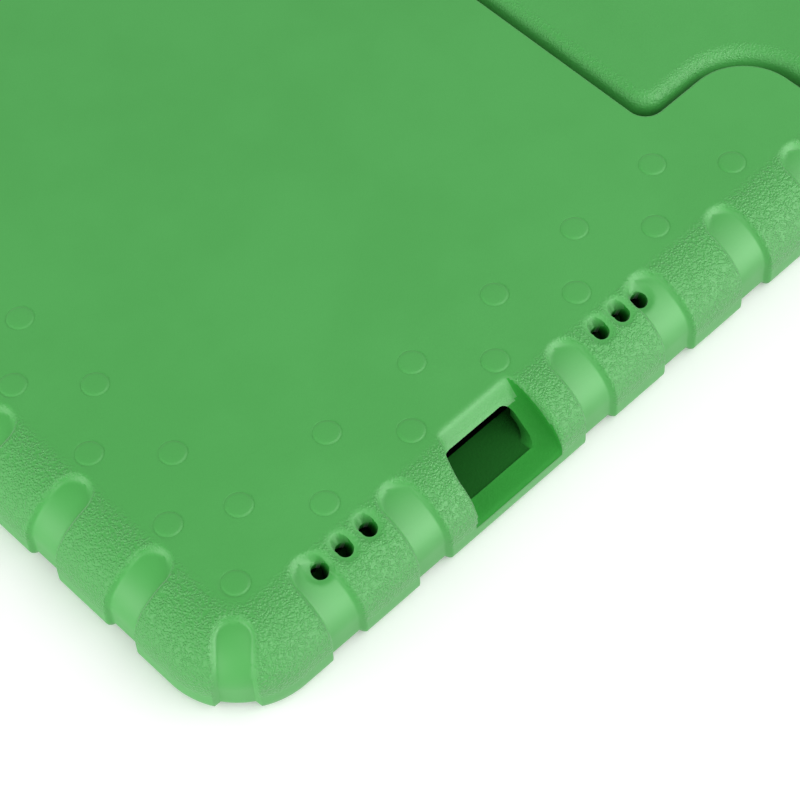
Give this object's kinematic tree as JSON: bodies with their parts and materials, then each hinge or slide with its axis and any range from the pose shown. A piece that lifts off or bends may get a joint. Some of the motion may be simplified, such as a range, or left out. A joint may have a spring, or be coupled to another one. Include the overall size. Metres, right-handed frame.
{
  "type": "kids tablet case with carry handle",
  "caption": "Thick foam shell for a tablet with finger grooves round its rolled edge, a port window and a carry handle that folds back as a stand.",
  "frame": {"origin": "centre of the box at its lowest face, which is the front rim that the case lies on", "axes": "+Z out of the back of the case, +Y along the tablet's long side away from the port, +X towards the handle"},
  "size_m": [0.295, 0.28, 0.025],
  "materials": {
    "green_foam": "matte moulded foam with a fine leather grain",
    "green_plastic": "satin"
  },
  "bodies": {
    "case": {"case_body": "green_foam"},
    "handle": {"handle_stand": "green_foam", "hinge_pin_port_end": "green_plastic", "hinge_pin_far_end": "green_plastic"}
  },
  "joints": [
    {"name": "handle_tilt", "type": "hinge", "parent": "case", "child": "handle", "pos_m": [0.0815, 0, 0.0125], "axis": [0, -1, 0], "range_deg": [0, 95]}
  ]
}
